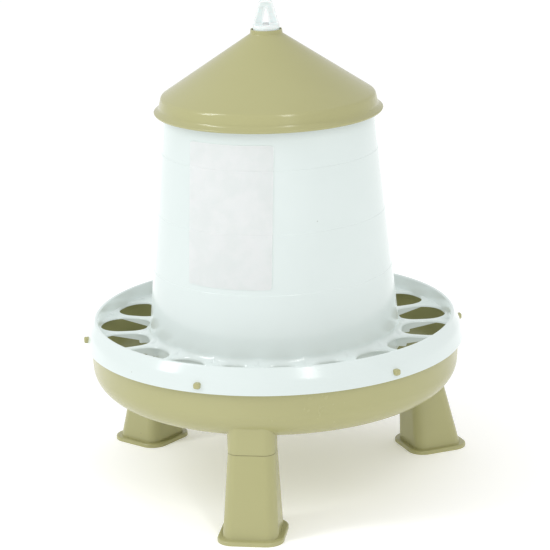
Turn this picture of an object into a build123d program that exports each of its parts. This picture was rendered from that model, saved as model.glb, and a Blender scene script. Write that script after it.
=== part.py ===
import os
from math import asin, atan2, cos, degrees, radians, sin, tan

from build123d import *

# Poultry feeder: a translucent hopper moulded in one with its feeding grille, an olive pan
# under it on three push-on legs, a conical lid that rests on the hopper, and a hanger.
# Millimetres, +Z up. Z = 0 is the ground and the Z axis is the axis of the hopper.

# Heights of the main forms, each from the one below it
leg_height = 64.3  # ground to the seam under a socket of the pan
socket_height = 9.7  # the pan's sockets, below its flat base
pan_depth = 40.2  # the pan's base to the lower edge of the grille ring's skirt
hopper_height = 194.6  # the skirt's lower edge to the hopper's mouth

# Walls and fits
pan_wall = 2.2
hopper_wall = 1.9
lid_wall = 1.8
leg_wall = 2.2
push_fit = 0.15  # all round a leg's spigot in its socket
loose_fit = 0.4  # round the hanger's tabs
seam_rounding = 0.3  # edges where a leg meets its socket

# Grille ring
ring_radius = 150.0  # lower edge of its skirt; the insets here and below are from this
ring_wall = 2.0
skirt_lean = 2.7  # how far the skirt leans in over skirt_rise
skirt_rise = 10.6
crest_inset = 7.9  # circle of the ring's top
crest_height = 19.5  # above the skirt's lower edge
crest_drop = 2.0  # rounding of the crest's inner edge
grille_height = 7.4  # the grille's top above the skirt's lower edge
grille_thickness = 1.8
grille_inset = 9.6  # where the ring's inner wall stands on the grille
opening_count = 18
opening_inset = 9.7  # the openings' outer ends
opening_start = 1.6  # from the hopper's foot to the openings' inner ends
opening_inner_corner = 13.5
opening_outer_corner = 17.0
rib_width = 5.6  # between two openings
first_opening = 1.0  # azimuth of one opening, degrees
wall_foot = 5.0  # hollow curve from the hopper's wall to the ribs

# Webs under the ribs
web_top_width = 5.0  # they taper down
web_foot_width = 2.2
web_tip_inset = 19.0
web_step_start = 8.1  # from the hopper's foot
web_depth = 5.2  # below the grille's underside, at the step
web_tab = 2.6  # the step's drop
feed_skirt = 11.0  # the hopper's wall goes on this far below the grille's underside

# Hopper
foot_radius = 99.9  # outside, at the skirt's lower edge
mouth_radius = 80.4  # outside, at the mouth
level_heights = (59.7, 105.4, 153.2)  # three level lines above the skirt's lower edge
level_step = 0.35  # each line is a step out of this much

# Pan
corner_inset = 4.7  # where the pan's rounded corner ends
corner_reach = 28.3
corner_rise = 23.7
pan_edge_inset = 3.8  # just under the ring's skirt
pan_edge_drop = 0.6
rim_height = 12.0  # above the skirt's lower edge
rim_gap = 0.5  # between the rim and the skirt it stands in
rim_wall = 1.7
spreader_radius = 62.0  # foot of the cone in the pan's middle
spreader_top = 9.0
spreader_height = 26.0

# Pegs on the rim that snap through the skirt
peg_count = 6
first_peg = 15.6  # azimuth, degrees
peg_width = 5.0
peg_thickness = 4.6
peg_height = 5.7  # its middle above the skirt's lower edge
peg_reach = 1.8  # beyond the skirt's lower edge
peg_rounding = 1.4
peg_end_rounding = 1.2
peg_fit = 0.25  # all round, in its hole in the skirt

# Legs
leg_names = ("leg_front", "leg_right", "leg_left")
first_leg = -90.0  # azimuth, degrees
leg_inset = 9.0  # the leg's outer face at the seam
leg_splay = 16.4  # how much further out that face stands on the ground
leg_top_depth = 26.8  # along the radius, at the seam
leg_top_width = 36.2
leg_top_corner = 8.5
leg_foot_depth = 42.0  # and on the ground
leg_foot_width = 42.6
leg_foot_corner = 9.0
sole_size = 50.4
sole_corner = 13.0
sole_thickness = 3.2
sole_rounding = 1.4
spigot_height = 8.0

# Lid
lid_overlap = 12.0  # its lip hangs this far below the hopper's mouth
lip_radius = 89.1
lip_thickness = 1.6
lip_rise = 6.2  # the lip's edge to the foot of the lid's skirt
lid_skirt_radius = 84.9
lid_shoulder_radius = 83.2
lid_shoulder = 1.2  # above the mouth
shoulder_rounding = 4.0
lid_slope = 33.6  # degrees
lid_seat_radius = 76.5  # inner edge of the flat ring that rests on the mouth
collar_radius = 12.6
collar_top_radius = 12.25
collar_height = 3.5
collar_bore = 11.4
collar_blend = 0.8  # hollow curve at the collar's foot
collar_rounding = 0.35
lip_rounding = 0.45

# Hanger
hanger_azimuth = 8.6  # its wide side, degrees
plug_radius = 10.3
plug_rise = 3.5  # the plug's top above the collar's
plug_height = 9.0
loop_width = 20.0
loop_top_width = 9.4
loop_height = 18.7
loop_thickness = 7.6
loop_rounding = 3.4
eye_width = 5.0
eye_height = 12.6
eye_top_width = 0.9
flute_depth = 1.1  # hollows in both faces of the loop
flute_border = 1.5
stem_radius = 5.0
bridge_width = 12.0
bridge_thickness = 5.0
bridge_drop = 11.0  # the bridge's underside below the mouth
tab_reach = 0.7  # the bridge's ends, beyond the hopper's wall

# Label
label_width = 69.4
label_height = 109.0
label_corner = 3.0
label_foot = 64.4  # its lower edge above the skirt's lower edge
label_azimuth = -103.3
label_thickness = 0.3
label_glue = 0.15  # between the label and the hopper

# Levels that follow from the sizes
pan_base = leg_height + socket_height
skirt_edge = pan_base + pan_depth
mouth = skirt_edge + hopper_height
rim_top = skirt_edge + rim_height
grille_top = skirt_edge + grille_height
grille_underside = grille_top - grille_thickness
crest = skirt_edge + crest_height
opening_pitch = 360 / opening_count
leg_pitch = 360 / len(leg_names)
peg_level = skirt_edge + peg_height
level_lines = [skirt_edge + height for height in level_heights]
bridge_level = mouth - bridge_drop

# Radii that follow from the sizes
crest_radius = ring_radius - crest_inset
grille_radius = ring_radius - grille_inset
opening_inner = foot_radius + opening_start
opening_outer = ring_radius - opening_inset
corner_radius = ring_radius - corner_inset
base_radius = corner_radius - corner_reach
pan_edge_radius = ring_radius - pan_edge_inset
peg_tip_radius = ring_radius + peg_reach
leg_top_outer = ring_radius - leg_inset
leg_top_inner = leg_top_outer - leg_top_depth
leg_foot_outer = leg_top_outer + leg_splay
leg_foot_inner = leg_foot_outer - leg_foot_depth

os.makedirs("parts", exist_ok=True)


def skirt_radius(level):
    """Outer radius of the ring's leaning skirt."""
    return ring_radius - skirt_lean * (level - skirt_edge) / skirt_rise


def hopper_outline(low, high, sheet=0.0):
    """Corners of the hopper's outside between two levels, or of a sheet that lies on it."""
    cone_drop = foot_radius - mouth_radius - level_step * len(level_lines)
    corners = []
    for level in [low, *[line for line in level_lines if low < line < high], high]:
        steps = len([line for line in level_lines if line < level])
        radius = foot_radius - cone_drop * (level - skirt_edge) / hopper_height
        radius += sheet - level_step * steps
        if level in level_lines:
            corners += [(radius, level + sheet), (radius - level_step, level + sheet)]
        else:
            corners.append((radius, level))
    return corners


def hopper_radius(level):
    return hopper_outline(level - 1, level)[-1][0]


# Pan: the outside, filled, is also the tool that shapes the sockets' ceilings
rim_radius = skirt_radius(rim_top) - ring_wall - rim_gap
edge_level = skirt_edge - pan_edge_drop

with BuildPart() as pan_form:
    with BuildSketch(Plane.XZ):
        with BuildLine():
            corner = EllipticalCenterArc(
                (base_radius, pan_base + corner_rise),
                corner_radius - base_radius,
                corner_rise,
                start_angle=270,
                arc_size=90,
            )
            Polyline(
                corner @ 1,
                (pan_edge_radius, edge_level),
                (rim_radius, rim_top),
                (0, rim_top),
                (0, pan_base),
                corner @ 0,
            )
        make_face()
    revolve(axis=Axis.Z)

with BuildPart() as pan_hollow:
    with BuildSketch(Plane.XZ):
        with BuildLine():
            corner = EllipticalCenterArc(
                (base_radius, pan_base + corner_rise),
                corner_radius - base_radius - pan_wall,
                corner_rise - pan_wall,
                start_angle=270,
                arc_size=90,
            )
            Polyline(
                corner @ 1,
                (pan_edge_radius - pan_wall, edge_level),
                (rim_radius - rim_wall, rim_top),
                (0, rim_top),
                (0, pan_base + spreader_height),
                (spreader_top, pan_base + spreader_height),
                (spreader_radius, pan_base + pan_wall),
                corner @ 0,
            )
        make_face()
    revolve(axis=Axis.Z)

with BuildPart() as spreader_hollow:
    with BuildSketch(Plane.XZ):
        with BuildLine():
            Polyline(
                (0, pan_base),
                (0, pan_base + spreader_height - pan_wall),
                (spreader_top, pan_base + spreader_height - pan_wall),
                (spreader_radius, pan_base),
                close=True,
            )
        make_face()
    revolve(axis=Axis.Z)


def leg_section(level, inset=0.0):
    """Rounded rectangle of a leg at a level, on azimuth 0, inset all round."""
    up = level / leg_height
    inner = leg_foot_inner + (leg_top_inner - leg_foot_inner) * up + inset
    outer = leg_foot_outer + (leg_top_outer - leg_foot_outer) * up - inset
    width = leg_foot_width + (leg_top_width - leg_foot_width) * up - 2 * inset
    corner = leg_foot_corner + (leg_top_corner - leg_foot_corner) * up - inset
    with BuildSketch(Plane.XY.offset(level)) as section:
        with Locations(((inner + outer) / 2, 0)):
            RectangleRounded(outer - inner, width, corner)
    return section.sketch


with BuildPart() as socket:
    extrude(leg_section(leg_height), amount=corner_rise)
    fillet(socket.faces().sort_by(Axis.Z)[0].edges(), seam_rounding)

# The bore of one socket, up to the underside of the pan
with BuildPart() as socket_bore:
    add(leg_section(leg_height, pan_wall))
    extrude(amount=rim_top - leg_height)
    add(pan_form.part, mode=Mode.SUBTRACT)

with BuildPart() as peg:
    with BuildSketch(Plane.XY.offset(peg_level - peg_thickness / 2)):
        with Locations(((peg_tip_radius + rim_radius) / 2, 0)):
            Rectangle(peg_tip_radius - rim_radius, peg_width)
    extrude(amount=peg_thickness)
    fillet(peg.edges().filter_by(Axis.X), peg_rounding)
    fillet(peg.faces().sort_by(Axis.X)[-1].edges(), peg_end_rounding)

with BuildPart() as feed_pan:
    add(pan_form.part)
    with PolarLocations(0, len(leg_names), start_angle=first_leg):
        add(socket.part)
    add(pan_hollow.part, mode=Mode.SUBTRACT)
    add(spreader_hollow.part, mode=Mode.SUBTRACT)
    with PolarLocations(0, len(leg_names), start_angle=first_leg):
        add(socket_bore.part, mode=Mode.SUBTRACT)
    with PolarLocations(0, peg_count, start_angle=first_peg):
        add(peg.part)

feed_pan.part.label = "feed_pan"
export_step(feed_pan.part, "parts/feed_pan.step")


# Hopper and grille ring, one moulding
feed_skirt_end = grille_underside - feed_skirt
outside = hopper_outline(feed_skirt_end, mouth)
inside = [(radius - hopper_wall, level) for radius, level in reversed(outside)]
channel_wall = grille_radius + ring_wall
foot_level = grille_top + wall_foot
slot_cut = 4 * hopper_wall  # deep enough to pass through the wall from both sides
foot_start = (hopper_radius(foot_level), foot_level)
foot_end = (hopper_radius(grille_top) + wall_foot, grille_top)
inside_wall = hopper_radius(grille_top) - hopper_wall / 2
web_tip = (ring_radius - web_tip_inset, grille_underside)
web_step = (foot_radius + web_step_start, grille_underside - web_depth)
web_foot = web_step[1] - web_tab

with BuildPart() as web:
    with BuildSketch(Plane.XZ):
        with BuildLine():
            Polyline(
                (inside_wall, grille_underside),
                web_tip,
                web_step,
                (web_step[0], web_foot),
                (inside_wall, web_foot),
                close=True,
            )
        make_face()
    extrude(amount=web_top_width / 2, both=True)
    with BuildSketch(Plane.YZ):
        with BuildLine():
            Polyline(
                (-web_top_width / 2, grille_underside),
                (web_top_width / 2, grille_underside),
                (web_foot_width / 2, web_foot),
                (-web_foot_width / 2, web_foot),
                close=True,
            )
        make_face()
    extrude(amount=ring_radius, mode=Mode.INTERSECT)


def rib_edge(radius):
    """Azimuth from an opening's middle to the rib beside it, whose two sides are parallel."""
    return opening_pitch / 2 - degrees(asin(rib_width / 2 / radius))


with BuildSketch() as opening:
    with BuildLine():
        inner_end = CenterArc((0, 0), opening_inner, -rib_edge(opening_inner), 2 * rib_edge(opening_inner))
        outer_end = CenterArc((0, 0), opening_outer, -rib_edge(opening_outer), 2 * rib_edge(opening_outer))
        Line(inner_end @ 0, outer_end @ 0)
        Line(inner_end @ 1, outer_end @ 1)
    make_face()
    fillet(opening.vertices().group_by(Axis.X)[0], opening_inner_corner)
    fillet(opening.vertices().group_by(Axis.X)[-1], opening_outer_corner)

with BuildPart() as hopper:
    with BuildSketch(Plane.XZ):
        with BuildLine():
            Polyline(*outside, *inside, close=True)
        make_face()
        with BuildLine():
            Polyline(
                (inside_wall, grille_underside),
                (channel_wall, grille_underside),
                (channel_wall, grille_top),
                (inside_wall, grille_top),
                close=True,
            )
        make_face()
        with BuildLine():
            TangentArc(foot_start, foot_end, tangent=(0, -1))
            Polyline(foot_end, (inside_wall, grille_top), (inside_wall, foot_level), foot_start)
        make_face()
        with BuildLine():
            skirt_top = (skirt_radius(skirt_edge + skirt_rise), skirt_edge + skirt_rise)
            crest_top = (crest_radius, crest)
            crest_inner = (grille_radius, crest - crest_drop)
            Line((ring_radius, skirt_edge), skirt_top)
            Spline(skirt_top, crest_top, tangents=((-skirt_lean, skirt_rise), (-1, 0)))
            Spline(crest_top, crest_inner, tangents=((-1, 0), (0, -1)))
            Polyline(
                crest_inner,
                (grille_radius, grille_underside),
                (channel_wall, grille_underside),
                (channel_wall, rim_top),
                (skirt_radius(rim_top) - ring_wall, rim_top),
                (ring_radius - ring_wall, skirt_edge),
                (ring_radius, skirt_edge),
            )
        make_face()
    revolve(axis=Axis.Z)
    with BuildSketch(Plane.XY.offset(grille_underside)):
        with PolarLocations(0, opening_count, start_angle=first_opening):
            add(opening.sketch)
    extrude(amount=grille_thickness + wall_foot, mode=Mode.SUBTRACT)
    with PolarLocations(0, opening_count, start_angle=first_opening + opening_pitch / 2):
        add(web.part)
    with BuildSketch(Plane.XY.offset(peg_level - peg_thickness / 2 - peg_fit)):
        with PolarLocations(ring_radius, peg_count, start_angle=first_peg):
            Rectangle(2 * (ring_radius - channel_wall), peg_width + 2 * peg_fit)
    extrude(amount=peg_thickness + 2 * peg_fit, mode=Mode.SUBTRACT)
    with BuildSketch(Plane.XY.offset(bridge_level)):
        with PolarLocations(hopper_radius(bridge_level), 2, start_angle=hanger_azimuth):
            Rectangle(slot_cut, bridge_width + 2 * loose_fit)
    extrude(amount=bridge_thickness + loose_fit, mode=Mode.SUBTRACT)

hopper.part.label = "hopper"
export_step(hopper.part, "parts/hopper.step")


# Lid, resting on the mouth with a flat ring inside its shoulder
slope = radians(lid_slope)
shoulder_level = mouth + lid_shoulder
lid_foot = mouth - lid_overlap
cone_foot = (lid_shoulder_radius, shoulder_level)
collar_level = shoulder_level + (lid_shoulder_radius - collar_radius) * tan(slope)
collar_top = collar_level + collar_height
under_cone = lid_wall / cos(slope)
seat_cone_level = shoulder_level + (lid_shoulder_radius - lid_seat_radius) * tan(slope) - under_cone
bore_level = shoulder_level + (lid_shoulder_radius - collar_bore) * tan(slope) - under_cone
skirt_foot = lid_foot + lip_rise
lip_reach = lip_radius - lid_skirt_radius
lip_tangent = (lip_reach, -lip_rise / 2)

with BuildPart() as lid:
    with BuildSketch(Plane.XZ) as lid_section:
        with BuildLine():
            Polyline(
                (lid_skirt_radius, skirt_foot),
                cone_foot,
                (collar_radius, collar_level),
                (collar_top_radius, collar_top),
                (collar_bore, collar_top),
                (collar_bore, bore_level),
                (lid_seat_radius, seat_cone_level),
                (lid_seat_radius, mouth),
                (lid_shoulder_radius - lid_wall, mouth),
                (lid_skirt_radius - lid_wall, skirt_foot),
            )
            Spline(
                (lid_skirt_radius - lid_wall, skirt_foot),
                (lip_radius - lip_thickness / 2, lid_foot),
                tangents=((0, -1), lip_tangent),
            )
            Line((lip_radius - lip_thickness / 2, lid_foot), (lip_radius, lid_foot + lip_thickness))
            Spline(
                (lip_radius, lid_foot + lip_thickness),
                (lid_skirt_radius, skirt_foot),
                tangents=((-lip_reach, lip_rise / 2), (0, 1)),
            )
        make_face()
        for corner, rounding in (
            (cone_foot, shoulder_rounding),
            ((collar_radius, collar_level), collar_blend),
            ((collar_top_radius, collar_top), collar_rounding),
            ((collar_bore, collar_top), collar_rounding),
            ((lip_radius, lid_foot + lip_thickness), lip_rounding),
            ((lip_radius - lip_thickness / 2, lid_foot), lip_rounding),
        ):
            fillet(lid_section.vertices().sort_by_distance(corner)[0], rounding)
    revolve(axis=Axis.Z)

lid.part.label = "lid"
export_step(lid.part, "parts/lid.step")


# Hanger: a loop on a plug that stands through the lid's collar, carried by a stem and a
# bridge whose ends sit in two slots under the hopper's mouth
plug_top = collar_top + plug_rise
bridge_reach = hopper_radius(bridge_level + bridge_thickness) + tab_reach


def loop_shape(border=0.0):
    """The loop's face, drawn in by a border from its outline and from its eye."""
    lean = atan2((loop_width - loop_top_width) / 2, loop_height)
    side_inset = border / cos(lean)
    with BuildSketch() as shape:
        with BuildLine():
            Polyline(
                (-loop_width / 2 + side_inset + border * tan(lean), plug_top + border),
                (loop_width / 2 - side_inset - border * tan(lean), plug_top + border),
                (loop_top_width / 2 - side_inset + border * tan(lean), plug_top + loop_height - border),
                (-loop_top_width / 2 + side_inset - border * tan(lean), plug_top + loop_height - border),
                close=True,
            )
        make_face()
        fillet(shape.vertices().group_by(Axis.Y)[-1], loop_rounding - border)
        with BuildLine():
            Polyline(
                (-eye_width / 2 - border, plug_top),
                (eye_width / 2 + border, plug_top),
                (eye_top_width / 2 + border, plug_top + eye_height + border),
                (-eye_top_width / 2 - border, plug_top + eye_height + border),
                close=True,
            )
        make_face(mode=Mode.SUBTRACT)
    return shape.sketch


with BuildPart() as upright_hanger:
    with BuildSketch(Plane.XY.offset(bridge_level)):
        Rectangle(2 * bridge_reach, bridge_width)
        Circle(bridge_reach, mode=Mode.INTERSECT)
    extrude(amount=bridge_thickness)
    with BuildSketch(Plane.XZ):
        with BuildLine():
            Polyline(
                (0, bridge_level),
                (stem_radius, bridge_level),
                (stem_radius, plug_top - plug_height - plug_radius),
                (plug_radius, plug_top - plug_height),
                (plug_radius, plug_top),
                (0, plug_top),
                close=True,
            )
        make_face()
    revolve(axis=Axis.Z)
    with BuildSketch(Plane.XZ):
        add(loop_shape())
    extrude(amount=loop_thickness / 2, both=True)
    for side in (1, -1):
        with BuildSketch(Plane.XZ.offset(side * (loop_thickness / 2 - flute_depth))):
            add(loop_shape(flute_border))
        extrude(amount=side * flute_depth, mode=Mode.SUBTRACT)

with BuildPart() as hanger:
    add(upright_hanger.part, rotation=(0, 0, hanger_azimuth))

hanger.part.label = "hanger"
export_step(hanger.part, "parts/hanger.step")


# Legs: a tapering shell on a rounded sole, with a spigot for the pan's socket
spigot_inset = pan_wall + push_fit
with BuildPart() as leg:
    add(leg_section(0))
    add(leg_section(leg_height))
    loft()
    fillet(leg.faces().sort_by(Axis.Z)[-1].edges(), seam_rounding)
    with BuildSketch():
        with Locations(((leg_foot_inner + leg_foot_outer) / 2, 0)):
            RectangleRounded(sole_size, sole_size, sole_corner)
    sole = extrude(amount=sole_thickness)
    fillet(sole.faces().sort_by(Axis.Z)[-1].edges(), sole_rounding)
    add(leg_section(leg_height, spigot_inset))
    extrude(amount=spigot_height)
    add(leg_section(0, leg_wall))
    add(leg_section(leg_height - leg_wall, leg_wall))
    loft(mode=Mode.SUBTRACT)
    add(leg_section(leg_height - leg_wall, spigot_inset + leg_wall))
    extrude(amount=spigot_height, mode=Mode.SUBTRACT)

for index, name in enumerate(leg_names):
    with BuildPart() as placed_leg:
        add(leg.part, rotation=(0, 0, first_leg + index * leg_pitch))
    placed_leg.part.label = name
    export_step(placed_leg.part, f"parts/{name}.step")


# Label: a thin sheet bent round the hopper over its level lines
label_low = skirt_edge + label_foot
label_span = (label_low - label_corner, label_low + label_height + label_corner)
label_bend = hopper_radius(label_low + label_height / 2)
label_chord = 2 * label_bend * sin(label_width / 2 / label_bend)
cone_angle = atan2(foot_radius - mouth_radius, hopper_height)
toward_label = (cos(radians(label_azimuth)), sin(radians(label_azimuth)), 0)
label_plane = Plane(
    origin=(0, 0, label_low + label_height / 2 * cos(cone_angle)),
    x_dir=(-toward_label[1], toward_label[0], 0),
    z_dir=toward_label,
)

with BuildPart() as label:
    with BuildSketch(Plane.XZ):
        with BuildLine():
            Polyline(
                *hopper_outline(*label_span, sheet=label_glue),
                *reversed(hopper_outline(*label_span, sheet=label_glue + label_thickness)),
                close=True,
            )
        make_face()
    revolve(axis=Axis.Z)
    with BuildSketch(label_plane):
        RectangleRounded(label_chord, label_height * cos(cone_angle), label_corner)
    extrude(amount=ring_radius, mode=Mode.INTERSECT)

label.part.label = "label"
export_step(label.part, "parts/label.step")
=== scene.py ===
import math

import bmesh
import bpy
from mathutils import Matrix, Vector


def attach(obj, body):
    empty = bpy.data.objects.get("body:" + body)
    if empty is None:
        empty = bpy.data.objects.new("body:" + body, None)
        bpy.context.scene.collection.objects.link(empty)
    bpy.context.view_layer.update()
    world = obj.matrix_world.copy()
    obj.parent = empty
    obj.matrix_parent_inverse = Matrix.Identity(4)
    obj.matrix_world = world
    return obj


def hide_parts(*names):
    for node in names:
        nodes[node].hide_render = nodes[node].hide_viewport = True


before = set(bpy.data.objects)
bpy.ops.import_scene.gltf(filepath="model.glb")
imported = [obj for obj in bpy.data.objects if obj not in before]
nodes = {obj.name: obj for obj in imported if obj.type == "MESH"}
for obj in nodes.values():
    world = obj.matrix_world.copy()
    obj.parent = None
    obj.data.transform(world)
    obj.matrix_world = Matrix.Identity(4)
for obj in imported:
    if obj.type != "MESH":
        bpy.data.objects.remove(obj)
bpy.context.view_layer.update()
scene = bpy.context.scene
print("frame loaded:", ", ".join(sorted(nodes)))


# Node tree helpers

def link(tree, value, socket):
    if isinstance(value, bpy.types.NodeSocket):
        tree.links.new(value, socket)
    else:
        socket.default_value = value


def addNode(tree, kind, inputs=None, **settings):
    node = tree.nodes.new(kind)
    for name, value in settings.items():
        setattr(node, name, value)
    for name, value in (inputs or {}).items():
        link(tree, value, node.inputs[name])
    return node


def doMath(tree, operation, *values, clamp=False):
    node = addNode(tree, "ShaderNodeMath", operation=operation, use_clamp=clamp)
    for index, value in enumerate(values):
        link(tree, value, node.inputs[index])
    return node.outputs[0]


def mixColour(tree, share, under, over):
    node = addNode(tree, "ShaderNodeMix", data_type="RGBA")
    for index, value in ((0, share), (6, under), (7, over)):
        link(tree, value, node.inputs[index])
    return node.outputs[2]


def stretch(tree, value, low, high):
    """0 at low, 1 at high, smooth between"""
    return addNode(tree, "ShaderNodeMapRange", {"Value": value, "From Min": low, "From Max": high},
                   interpolation_type="SMOOTHSTEP").outputs[0]


def newTree(name, kind, ins, outs):
    """ins are (name, socket type, value) and outs are (name, socket type)"""
    tree = bpy.data.node_groups.new(name, kind)
    for label, socketType, value in ins:
        socket = tree.interface.new_socket(label, in_out="INPUT", socket_type=socketType)
        if value is not None:
            socket.default_value = value
    for label, socketType in outs:
        tree.interface.new_socket(label, in_out="OUTPUT", socket_type=socketType)
    return tree, tree.nodes.new("NodeGroupInput").outputs, tree.nodes.new("NodeGroupOutput").inputs


def placeGroup(tree, group, inputs):
    node = tree.nodes.new("ShaderNodeGroup")
    node.node_tree = group
    for name, value in inputs.items():
        link(tree, value, node.inputs[name])
    return node.outputs


# Shared finishes

def makeMouldedSkin():
    """Flow clouds, fine grain and small specks of moulded plastic"""
    tree, given, result = newTree("mouldedSkin", "ShaderNodeTree", [
        ("Colour", "NodeSocketColor", (0.5, 0.5, 0.5, 1)),
        ("Cloud Colour", "NodeSocketColor", (0.4, 0.4, 0.4, 1)),
        ("Cloud Size", "NodeSocketFloat", 12.0),
        ("Cloud Strength", "NodeSocketFloat", 0.5),
        ("Grain Size", "NodeSocketFloat", 900.0),
        ("Gloss", "NodeSocketFloat", 0.3),
    ], [("Colour", "NodeSocketColor"), ("Roughness", "NodeSocketFloat"), ("Height", "NodeSocketFloat")])
    place = addNode(tree, "ShaderNodeTexCoord").outputs["Object"]
    clouds = addNode(tree, "ShaderNodeTexNoise", {
        "Vector": place, "Scale": given["Cloud Size"], "Detail": 4.0, "Roughness": 0.55}).outputs["Fac"]
    grain = addNode(tree, "ShaderNodeTexNoise", {
        "Vector": place, "Scale": given["Grain Size"], "Detail": 2.0}).outputs["Fac"]
    specks = addNode(tree, "ShaderNodeTexVoronoi", {"Vector": place, "Scale": 130.0, "Randomness": 1.0})
    speck = stretch(tree, specks.outputs["Distance"], 0.10, 0.05)
    rare = stretch(tree, addNode(tree, "ShaderNodeSeparateColor", {
        "Color": specks.outputs["Color"]}).outputs["Red"], 0.955, 0.97)
    speckShare = doMath(tree, "MULTIPLY", doMath(tree, "MULTIPLY", speck, rare), 0.35)
    cloudShare = doMath(tree, "MULTIPLY", stretch(tree, clouds, 0.32, 0.68), given["Cloud Strength"])
    base = mixColour(tree, cloudShare, given["Colour"], given["Cloud Colour"])
    dirt = mixColour(tree, speckShare, base, (0.16, 0.15, 0.12, 1))
    link(tree, dirt, result["Colour"])
    uneven = doMath(tree, "ADD", doMath(tree, "MULTIPLY_ADD", grain, 0.08, -0.04),
                    doMath(tree, "MULTIPLY_ADD", clouds, 0.12, -0.06))
    link(tree, doMath(tree, "ADD", given["Gloss"], uneven, clamp=True), result["Roughness"])
    link(tree, grain, result["Height"])
    return tree


def makeLevelShade():
    """A mask that is 1 at one height and fades above and below, for grime lines and seams"""
    tree, given, result = newTree("levelShade", "ShaderNodeTree", [
        ("Level", "NodeSocketFloat", 0.1), ("Fade", "NodeSocketFloat", 0.004)], [("Mask", "NodeSocketFloat")])
    height = addNode(tree, "ShaderNodeSeparateXYZ", {
        "Vector": addNode(tree, "ShaderNodeTexCoord").outputs["Object"]}).outputs["Z"]
    away = doMath(tree, "ABSOLUTE", doMath(tree, "SUBTRACT", height, given["Level"]))
    share = doMath(tree, "SUBTRACT", 1.0, doMath(tree, "DIVIDE", away, given["Fade"]), clamp=True)
    link(tree, share, result["Mask"])
    return tree


mouldedSkin = makeMouldedSkin()
levelShade = makeLevelShade()


def plastic(name, look):
    material = bpy.data.materials.new(name)
    material.use_nodes = True
    tree = material.node_tree
    shader = tree.nodes["Principled BSDF"].inputs
    skin = placeGroup(tree, mouldedSkin, {
        "Colour": look["colour"], "Cloud Colour": look["cloudColour"], "Cloud Size": look["cloudSize"],
        "Cloud Strength": look["cloudStrength"], "Grain Size": look["grainSize"], "Gloss": look["roughness"]})
    colour = skin["Colour"]
    for level, fade, share in look.get("seams", ()):
        mask = placeGroup(tree, levelShade, {"Level": level, "Fade": fade})["Mask"]
        colour = mixColour(tree, doMath(tree, "MULTIPLY", mask, share), colour, look["seamColour"])
    link(tree, colour, shader["Base Color"])
    link(tree, skin["Roughness"], shader["Roughness"])
    bump = addNode(tree, "ShaderNodeBump", {
        "Strength": look["grainStrength"], "Distance": 0.0002, "Height": skin["Height"]})
    link(tree, bump.outputs["Normal"], shader["Normal"])
    shader["Specular IOR Level"].default_value = look["specular"]
    # Painted glow: emission in the plastic's own colour stands in for light passing through milky plastic and lightens
    # its shaded insides; its strength is 0 unless the look gives one
    link(tree, colour, shader["Emission Color"])
    shader["Emission Strength"].default_value = look.get("paintedGlow", 0.0)
    shader["Subsurface Weight"].default_value = look["glow"]
    shader["Subsurface Radius"].default_value = look["glowRadius"]
    shader["Subsurface Scale"].default_value = 0.001
    return material


olive = {
    "colour": (0.395, 0.383, 0.186, 1), "cloudColour": (0.372, 0.360, 0.168, 1),
    "cloudSize": 9.0, "cloudStrength": 0.6, "grainSize": 220.0, "grainStrength": 0.06,
    "roughness": 0.24, "specular": 0.5, "glow": 0.0, "glowRadius": (1, 1, 1),
    "seams": [(0.0643, 0.0005, 0.65)], "seamColour": (0.13, 0.12, 0.06, 1),
}
oliveLid = {**olive, "roughness": 0.2, "seams": []}
# The milky plastic has a painted glow (emission 0.55) that stands in for light passing through it, so its shade, inner
# ring wall and openings come out lighter; its base colour is set lower to make up for it
milky = {
    "colour": (0.455, 0.500, 0.490, 1), "cloudColour": (0.430, 0.476, 0.464, 1),
    "cloudSize": 8.0, "cloudStrength": 0.7, "grainSize": 160.0, "grainStrength": 0.05,
    "roughness": 0.17, "specular": 0.5, "glow": 0.0, "glowRadius": (6, 7, 6.8), "paintedGlow": 0.55,
}
clearWhite = {
    "colour": (0.80, 0.84, 0.84, 1), "cloudColour": (0.74, 0.80, 0.79, 1),
    "cloudSize": 60.0, "cloudStrength": 0.8, "grainSize": 700.0, "grainStrength": 0.05,
    "roughness": 0.22, "specular": 0.5, "glow": 0.5, "glowRadius": (4, 5, 5),
}
oliveFinish = plastic("olivePlastic", olive)
lidFinish = plastic("lidPlastic", oliveLid)
milkyFinish = plastic("milkyPlastic", milky)
whiteFinish = plastic("whitePlastic", clearWhite)
print("plastics made")

cadFinishes = {"feed_pan": oliveFinish, "lid": lidFinish, "hanger": whiteFinish, "hopper": milkyFinish,
               "label": whiteFinish, "leg_front": oliveFinish, "leg_right": oliveFinish, "leg_left": oliveFinish}
for name, finish in cadFinishes.items():
    nodes[name].data.materials.clear()
    nodes[name].data.materials.append(finish)


# Geometry Nodes

def geometryTree(name, ins):
    return newTree(name, "GeometryNodeTree", [("Geometry", "NodeSocketGeometry", None), *ins,
                   ("Material", "NodeSocketMaterial", None)], [("Geometry", "NodeSocketGeometry")])


def finishTree(tree, given, result, geometry):
    merged = addNode(tree, "GeometryNodeMergeByDistance", {"Geometry": geometry, "Distance": 0.00001})
    smooth = addNode(tree, "GeometryNodeSetShadeSmooth", {"Geometry": merged.outputs[0]})
    real = addNode(tree, "GeometryNodeRealizeInstances", {"Geometry": smooth.outputs[0]})
    painted = addNode(tree, "GeometryNodeSetMaterial", {
        "Geometry": real.outputs[0], "Material": given["Material"]})
    link(tree, painted.outputs[0], result["Geometry"])
    return tree


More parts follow.
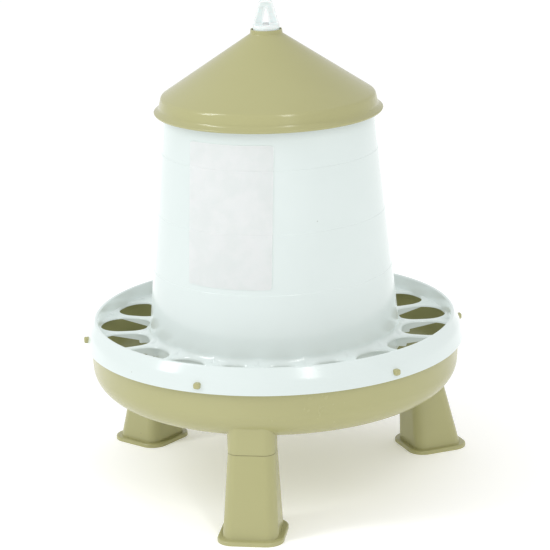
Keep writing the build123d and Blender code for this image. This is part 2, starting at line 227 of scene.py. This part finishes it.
def makeTurnedShell():
    """Turns a chain of points in the XZ plane round the Z axis"""
    tree, given, result = geometryTree("turnedShell", [("Segments", "NodeSocketInt", 192)])
    pointCount = addNode(tree, "GeometryNodeAttributeDomainSize", {
        "Geometry": given["Geometry"]}, component="MESH").outputs["Point Count"]
    columns = doMath(tree, "ADD", given["Segments"], 1.0)
    sheet = addNode(tree, "GeometryNodeMeshGrid", {"Vertices X": columns, "Vertices Y": pointCount})
    index = addNode(tree, "GeometryNodeInputIndex").outputs[0]
    column = doMath(tree, "FLOOR", doMath(tree, "DIVIDE", doMath(tree, "ADD", index, 0.5), pointCount))
    row = doMath(tree, "SUBTRACT", index, doMath(tree, "MULTIPLY", column, pointCount))
    sample = addNode(tree, "GeometryNodeSampleIndex", {"Geometry": given["Geometry"]},
                     data_type="FLOAT_VECTOR", domain="POINT")
    link(tree, addNode(tree, "GeometryNodeInputPosition").outputs[0], sample.inputs["Value"])
    link(tree, row, sample.inputs["Index"])
    angle = doMath(tree, "DIVIDE", doMath(tree, "MULTIPLY", column, 2 * math.pi), given["Segments"])
    turned = addNode(tree, "ShaderNodeVectorRotate", {
        "Vector": sample.outputs[0], "Angle": angle}, rotation_type="Z_AXIS")
    placed = addNode(tree, "GeometryNodeSetPosition", {
        "Geometry": sheet.outputs["Mesh"], "Position": turned.outputs[0]})
    return finishTree(tree, given, result, placed.outputs[0])


def makeRingOfCopies():
    """Repeats a piece round the Z axis and welds the copies where they meet"""
    tree, given, result = geometryTree("ringOfCopies", [
        ("Count", "NodeSocketInt", 18), ("First Azimuth", "NodeSocketFloat", 0.0)])
    seeds = addNode(tree, "GeometryNodePoints", {"Count": given["Count"]})
    index = addNode(tree, "GeometryNodeInputIndex").outputs[0]
    step = doMath(tree, "DIVIDE", 2 * math.pi, given["Count"])
    angle = doMath(tree, "MULTIPLY_ADD", index, step, given["First Azimuth"])
    spin = addNode(tree, "ShaderNodeCombineXYZ", {"Z": angle})
    copies = addNode(tree, "GeometryNodeInstanceOnPoints", {
        "Points": seeds.outputs[0], "Instance": given["Geometry"], "Rotation": spin.outputs[0]})
    real = addNode(tree, "GeometryNodeRealizeInstances", {"Geometry": copies.outputs[0]})
    return finishTree(tree, given, result, real.outputs[0])


turnedShell = makeTurnedShell()
ringOfCopies = makeRingOfCopies()


def newObject(name, vertices, edges, faces):
    mesh = bpy.data.meshes.new(name)
    mesh.from_pydata(vertices, edges, faces)
    item = bpy.data.objects.new(name, mesh)
    scene.collection.objects.link(item)
    return item


def growMesh(seed, tree, values):
    """The plain mesh that a Geometry Nodes tree makes from a seed object, which goes"""
    modifier = seed.modifiers.new("grow", "NODES")
    modifier.node_group = tree
    for item in tree.interface.items_tree:
        if item.in_out == "INPUT" and item.name in values:
            modifier[item.identifier] = values[item.name]
    bpy.context.view_layer.update()
    mesh = bpy.data.meshes.new_from_object(seed.evaluated_get(bpy.context.evaluated_depsgraph_get()))
    bpy.data.objects.remove(seed)
    return mesh


def joinMeshes(name, meshes, finish, sharpAngle=40):
    """meshes are (mesh, closed); a closed one gets its faces turned outwards"""
    whole = bmesh.new()
    for mesh, closed in meshes:
        part = bmesh.new()
        part.from_mesh(mesh)
        if closed:
            bmesh.ops.recalc_face_normals(part, faces=part.faces)
        plain = bpy.data.meshes.new("plain")
        part.to_mesh(plain)
        part.free()
        whole.from_mesh(plain)
        bpy.data.meshes.remove(plain)
    joined = bpy.data.meshes.new(name)
    whole.to_mesh(joined)
    whole.free()
    joined.materials.clear()
    joined.materials.append(finish)
    for face in joined.polygons:
        face.material_index = 0
    joined.shade_smooth()
    joined.set_sharp_from_angle(angle=math.radians(sharpAngle))
    item = bpy.data.objects.new(name, joined)
    scene.collection.objects.link(item)
    return item


def roundChain(corners, closed=False, steps=5):
    """corners are (radius, height, rounding) in millimetres; a rounding of 0 stays a point"""
    chain = []
    for index, (x, y, rounding) in enumerate(corners):
        here = Vector((x, y))
        if not rounding:
            chain.append(here)
            continue
        before = (Vector(corners[index - 1][:2]) - here).normalized()
        after = (Vector(corners[(index + 1) % len(corners)][:2]) - here).normalized()
        half = before.angle(after) / 2
        centre = here + (before + after).normalized() * rounding / math.sin(half)
        start = here + before * rounding / math.tan(half) - centre
        end = here + after * rounding / math.tan(half) - centre
        sweep = start.angle_signed(end)
        for step in range(steps + 1):
            turn = Matrix.Rotation(-sweep * step / steps, 2)
            chain.append(centre + turn @ start)
    if closed:
        chain.append(chain[0])
    return chain


def turnProfile(name, chain, segments, finish):
    seed = newObject(name, [(x / 1000, 0, z / 1000) for x, z in chain],
                     [(i, i + 1) for i in range(len(chain) - 1)], [])
    return growMesh(seed, turnedShell, {"Segments": segments, "Material": finish})


# Hopper, grille and ring: one moulding

hopper = {
    "skirtEdge": 114.2, "mouth": 308.8, "footRadius": 99.9, "mouthRadius": 80.4, "wall": 1.9,
    "levelLines": (173.9, 219.6, 267.4), "levelStep": 0.35, "feedSkirtEnd": 108.8,
    "ringRadius": 150.0, "ringWall": 2.0, "shoulder": (147.4, 124.8), "crest": (142.5, 133.7),
    "innerWall": 140.4, "channelTop": 126.2,
    "grilleTop": 121.6, "grilleUnderside": 119.8, "segments": 192,
}
grille = {
    "count": 18, "firstAzimuth": 1.0, "openingInner": 101.5, "openingOuter": 140.3, "ribWidth": 5.6,
    "innerCorner": 13.5, "outerCorner": 17.0, "footCurve": 5.0, "ringCurve": 1.2, "edgeRounding": 1.5,
    "webTip": 131.0, "webStep": 108.0, "webDepth": 5.2, "webTab": 2.6, "webTop": 5.0, "webFoot": 2.2,
}


def wallRadius(height):
    lines = [line for line in hopper["levelLines"] if line < height]
    slope = (hopper["footRadius"] - hopper["mouthRadius"] - 3 * hopper["levelStep"]) / (
        hopper["mouth"] - hopper["skirtEdge"])
    return hopper["footRadius"] - slope * (height - hopper["skirtEdge"]) - hopper["levelStep"] * len(lines)


def makeWallProfile():
    step, wall = hopper["levelStep"], hopper["wall"]
    outside = [(wallRadius(hopper["feedSkirtEnd"]), hopper["feedSkirtEnd"], 0.5)]
    for line in hopper["levelLines"]:
        radius = wallRadius(line)
        outside += [(radius, line, 0.2), (radius - step, line + 0.3, 0.2)]
    outside.append((wallRadius(hopper["mouth"]), hopper["mouth"], 0.6))
    inside = [(hopper["mouthRadius"] - wall, hopper["mouth"], 0.6),
              (wallRadius(hopper["feedSkirtEnd"]) - wall, hopper["feedSkirtEnd"], 0.5)]
    return roundChain(outside + inside, closed=True, steps=4)


def makeRingProfile():
    edge, wall = hopper["skirtEdge"], hopper["ringWall"]
    shoulder, crest = hopper["shoulder"], hopper["crest"]
    inner = hopper["innerWall"]
    return roundChain([
        (inner + wall, hopper["grilleUnderside"], 0.4), (inner + wall, hopper["channelTop"], 1.2),
        (shoulder[0] - wall, hopper["channelTop"], 1.2), (hopper["ringRadius"] - wall, edge, 0.6),
        (hopper["ringRadius"], edge, 0.6), (*shoulder, 20), (*crest, 1.5), (inner, crest[1], 1.1),
        (inner, hopper["grilleUnderside"], 0.4)], closed=True, steps=8)


def cornerArc(radius, rounding, inner, steps=10):
    """The rounding between an opening's side, parallel to the rib, and its end, an arc about the axis"""
    half = math.pi / grille["count"]
    along = Vector((math.cos(half), math.sin(half)))
    inward = Vector((math.sin(half), -math.cos(half)))
    offset = grille["ribWidth"] / 2 + rounding
    centreRadius = radius + rounding if inner else radius - rounding
    centre = along * math.sqrt(centreRadius ** 2 - offset ** 2) + inward * offset
    onEnd = centre * (radius / centreRadius) - centre
    onSide = -inward * rounding
    sweep = onEnd.angle_signed(onSide)
    return [centre + Matrix.Rotation(-sweep * step / steps, 2) @ onEnd for step in range(steps + 1)]


def openingOutline():
    """Half of an opening from its inner end's middle to its outer end's, then mirrored"""
    innerArc = cornerArc(grille["openingInner"], grille["innerCorner"], True)
    outerArc = cornerArc(grille["openingOuter"], grille["outerCorner"], False)
    upper = [Vector((grille["openingInner"], 0)), *innerArc]
    sideSteps = 6
    upper += [innerArc[-1].lerp(outerArc[-1], step / sideSteps) for step in range(1, sideSteps)]
    upper += [*reversed(outerArc), Vector((grille["openingOuter"], 0))]
    lower = [Vector((p.x, -p.y)) for p in reversed(upper[1:-1])]
    return list(reversed(upper + lower))


def hollowAngle(reach, curve):
    """How far up the hollow curve a point stands, from its distance to the wall"""
    return math.asin(max(0.0, min(1.0, 1 - reach / curve)))


def flatten(point, wallAt, ringAt):
    """Unrolls the hollow curves at the wall and the ring, so that the grid stays even on them"""
    radius = point.length
    for reach, curve, side in ((radius - wallAt, grille["footCurve"], 1), (ringAt - radius, grille["ringCurve"], -1)):
        if reach < curve:
            share = 1 - hollowAngle(reach, curve) / (math.pi / 2)
            radius = wallAt + curve * share if side > 0 else ringAt - curve * share
    return point.normalized() * radius


def rollUp(point, wallAt, ringAt):
    """The way back: radius and rise of a flat point on the hollow curves"""
    radius, rise = point.length, 0.0
    for reach, curve, side in ((radius - wallAt, grille["footCurve"], 1), (ringAt - radius, grille["ringCurve"], -1)):
        if reach < curve:
            angle = (1 - max(reach, 0) / curve) * math.pi / 2
            radius = wallAt + curve * (1 - math.sin(angle)) if side > 0 else ringAt - curve * (1 - math.sin(angle))
            rise = curve * (1 - math.cos(angle))
    return point.normalized() * radius, rise


def sectorEdge(start, towards, wallAt, ringAt):
    """Where the line from an opening's middle leaves its sector"""
    direction = (towards - start).normalized()
    half = math.pi / grille["count"]
    hits = []
    for side in (1, -1):
        normal = Vector((-math.sin(half) * side, math.cos(half))) * side
        fall = direction.dot(normal)
        if fall > 1e-9:
            hits.append(-start.dot(normal) / fall)
    along = start.dot(direction)
    for radius in (wallAt, ringAt):
        under = along ** 2 - start.length_squared + radius ** 2
        if under > 0:
            hits += [hit for hit in (-along - math.sqrt(under), -along + math.sqrt(under)) if hit > 0]
    return start + direction * min(hit for hit in hits if hit > 0)


def makeSector():
    """One opening with half of each rib beside it: rings of points from under the plate, up through the opening"""
    wallAt = wallRadius(hopper["grilleTop"]) - 0.02
    ringAt = hopper["innerWall"] + 0.02
    middle = Vector(((grille["openingInner"] + grille["openingOuter"]) / 2, 0))
    rim = [flatten(point, wallAt, ringAt) for point in openingOutline()]
    border = [sectorEdge(middle, point, wallAt, ringAt) for point in rim]
    half = math.pi / grille["count"]
    for radius in (wallAt, ringAt):
        for side in (half, -half):
            corner = Vector((math.cos(side), math.sin(side))) * radius
            nearest = max(range(len(rim)), key=lambda i: (rim[i] - middle).normalized().dot((corner - middle).normalized()))
            border[nearest] = corner
    rounding, rings = grille["edgeRounding"], []
    top, under = hopper["grilleTop"], hopper["grilleUnderside"]

    def ring(place, height):
        """place gives a rim point's flat point and how far that is in from the rim"""
        points = []
        for edge, outer in zip(rim, border):
            flat, depth = place(edge, outer)
            point, rise = rollUp(flat, wallAt, ringAt)
            level = height(depth, rise)
            points.append((point.x / 1000, point.y / 1000, level / 1000))
        rings.append(points)

    def drop(depth):
        return rounding - math.sqrt(rounding ** 2 - (rounding - min(depth, rounding)) ** 2)

    ring(lambda edge, outer: (outer, 0), lambda depth, rise: under)
    ring(lambda edge, outer: (edge.lerp(outer, 0.15), 0), lambda depth, rise: under)
    ring(lambda edge, outer: (edge, 0), lambda depth, rise: under + 0.25)
    for step in range(7):
        inset = rounding * (1 - math.cos(math.pi / 2 * step / 6))
        ring(lambda edge, outer: (edge + (outer - edge).normalized() * min(inset, (outer - edge).length * 0.8), inset),
             lambda depth, rise: top + rise - drop(depth))
    for share in (0.5, 0.65, 0.8, 0.9, 1.0):
        def placeAt(edge, outer):
            width = (outer - edge).length
            depth = min(rounding, width * 0.8)
            return edge + (outer - edge).normalized() * (depth + (width - depth) * (share - 0.4) / 0.6), rounding
        ring(placeAt, lambda depth, rise: top + rise)
    count = len(rim)
    vertices = [point for points in rings for point in points]
    faces = [(k * count + i, (k + 1) * count + i, (k + 1) * count + (i + 1) % count, k * count + (i + 1) % count)
             for k in range(len(rings) - 1) for i in range(count)]
    return newObject("grilleSector", vertices, [], faces)


def makeWeb():
    """The tapered web under a rib, with its step near the hopper's wall"""
    under = hopper["grilleUnderside"]
    start = wallRadius(under) - hopper["wall"] / 2
    foot = under - grille["webDepth"] - grille["webTab"]
    outline = [(start, under + 0.6), (grille["webTip"] + 2.6, under + 0.6), (grille["webTip"], under),
               (grille["webStep"] + 1.2, under - grille["webDepth"] + 0.3), (grille["webStep"], under - grille["webDepth"]),
               (grille["webStep"], foot + 0.6), (grille["webStep"] - 0.6, foot), (start, foot)]
    vertices = []
    for side in (1, -1):
        for radius, height in outline:
            share = (under - height) / (under - foot)
            width = grille["webTop"] + (grille["webFoot"] - grille["webTop"]) * share
            vertices.append((radius / 1000, side * width / 2000, height / 1000))
    count = len(outline)
    faces = [tuple(range(count)), tuple(range(2 * count - 1, count - 1, -1))]
    faces += [(i, count + i, count + (i + 1) % count, (i + 1) % count) for i in range(count)]
    return newObject("web", vertices, [], faces)


def makeHopper():
    wallMesh = turnProfile("hopperWall", makeWallProfile(), hopper["segments"], milkyFinish)
    ringMesh = turnProfile("grilleRing", makeRingProfile(), hopper["segments"], milkyFinish)
    first = math.radians(grille["firstAzimuth"])
    grilleMesh = growMesh(makeSector(), ringOfCopies, {
        "Count": grille["count"], "First Azimuth": first, "Material": milkyFinish})
    webMesh = growMesh(makeWeb(), ringOfCopies, {
        "Count": grille["count"], "First Azimuth": first + math.pi / grille["count"], "Material": milkyFinish})
    item = joinMeshes("hopperMoulding", [(wallMesh, True), (ringMesh, True), (grilleMesh, False), (webMesh, True)],
                      milkyFinish)
    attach(item, "root")
    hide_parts("hopper")
    return item


hopperMoulding = makeHopper()
print("hopper moulded:", len(hopperMoulding.data.polygons), "faces")


# Studio: pale floor, soft lights, camera at the photograph's angle

studio = {
    "floorSize": 8.0, "floorColour": (0.96, 0.96, 0.96, 1), "skyStrength": 0.84, "backdropStrength": 1.1,
    "floorGlow": 0.2,
}
lights = {
    "boxLeft": {"azimuth": -70, "elevation": 38, "distance": 1.7, "size": (0.28, 1.0), "power": 9, "colour": (0.95, 0.98, 1.0)},
    "boxRight": {"azimuth": 21, "elevation": 38, "distance": 1.7, "size": (0.22, 0.9), "power": 5, "colour": (1, 1, 0.98)},
}
view = {
    "distance": 1.650, "height": 0.6376, "azimuth": 8.6, "pitch": 0.27976, "yaw": 0.00089,
    "roll": -0.02809, "lens": 141.81,
}


def makeFloor():
    half = studio["floorSize"] / 2
    floor = newObject("floor", [(-half, -half, 0), (half, -half, 0), (half, half, 0), (-half, half, 0)], [], [(0, 1, 2, 3)])
    paint = bpy.data.materials.new("floorPaint")
    paint.use_nodes = True
    paint.node_tree.nodes["Principled BSDF"].inputs["Base Color"].default_value = studio["floorColour"]
    paint.node_tree.nodes["Principled BSDF"].inputs["Roughness"].default_value = 0.9
    paint.node_tree.nodes["Principled BSDF"].inputs["Emission Color"].default_value = (1, 1, 1, 1)
    paint.node_tree.nodes["Principled BSDF"].inputs["Emission Strength"].default_value = studio["floorGlow"]
    floor.data.materials.append(paint)


def makeSky():
    world = bpy.data.worlds.new("studioSky")
    scene.world = world
    world.use_nodes = True
    tree = world.node_tree
    seen = addNode(tree, "ShaderNodeLightPath").outputs["Is Camera Ray"]
    strength = doMath(tree, "MULTIPLY_ADD", seen, studio["backdropStrength"] - studio["skyStrength"], studio["skyStrength"])
    tree.nodes["Background"].inputs["Color"].default_value = (1, 1, 1, 1)
    link(tree, strength, tree.nodes["Background"].inputs["Strength"])


def makeLight(name, light):
    lamp = bpy.data.lights.new(name, "AREA")
    lamp.shape = "RECTANGLE"
    lamp.size, lamp.size_y = light["size"]
    lamp.energy = light["power"]
    lamp.color = light["colour"]
    item = bpy.data.objects.new(name, lamp)
    round_, up = math.radians(light["azimuth"] + view["azimuth"]), math.radians(light["elevation"])
    back = Vector((math.sin(round_) * math.cos(up), -math.cos(round_) * math.cos(up), math.sin(up)))
    aim = Vector((0, 0, 0.18))
    item.location = aim + back * light["distance"]
    item.rotation_euler = (-back).to_track_quat("-Z", "Y").to_euler()
    scene.collection.objects.link(item)


def makeCamera():
    camera = bpy.data.objects.new("camera", bpy.data.cameras.new("camera"))
    turn = math.radians(view["azimuth"])
    place = Vector((view["distance"] * math.sin(turn), -view["distance"] * math.cos(turn), view["height"]))
    heading = Matrix.Rotation(turn - view["yaw"], 4, "Z")
    tilt = Matrix.Rotation(math.pi / 2 - view["pitch"], 4, "X")
    roll = Matrix.Rotation(view["roll"], 4, "Z")
    camera.matrix_world = Matrix.Translation(place) @ heading @ tilt @ roll
    camera.data.sensor_width = 36
    camera.data.lens = view["lens"]
    camera.data.clip_start, camera.data.clip_end = 0.01, 50
    scene.collection.objects.link(camera)
    scene.camera = camera


makeFloor()
makeSky()
for name, light in lights.items():
    makeLight(name, light)
makeCamera()
scene.view_settings.view_transform = "Standard"
print("studio ready")
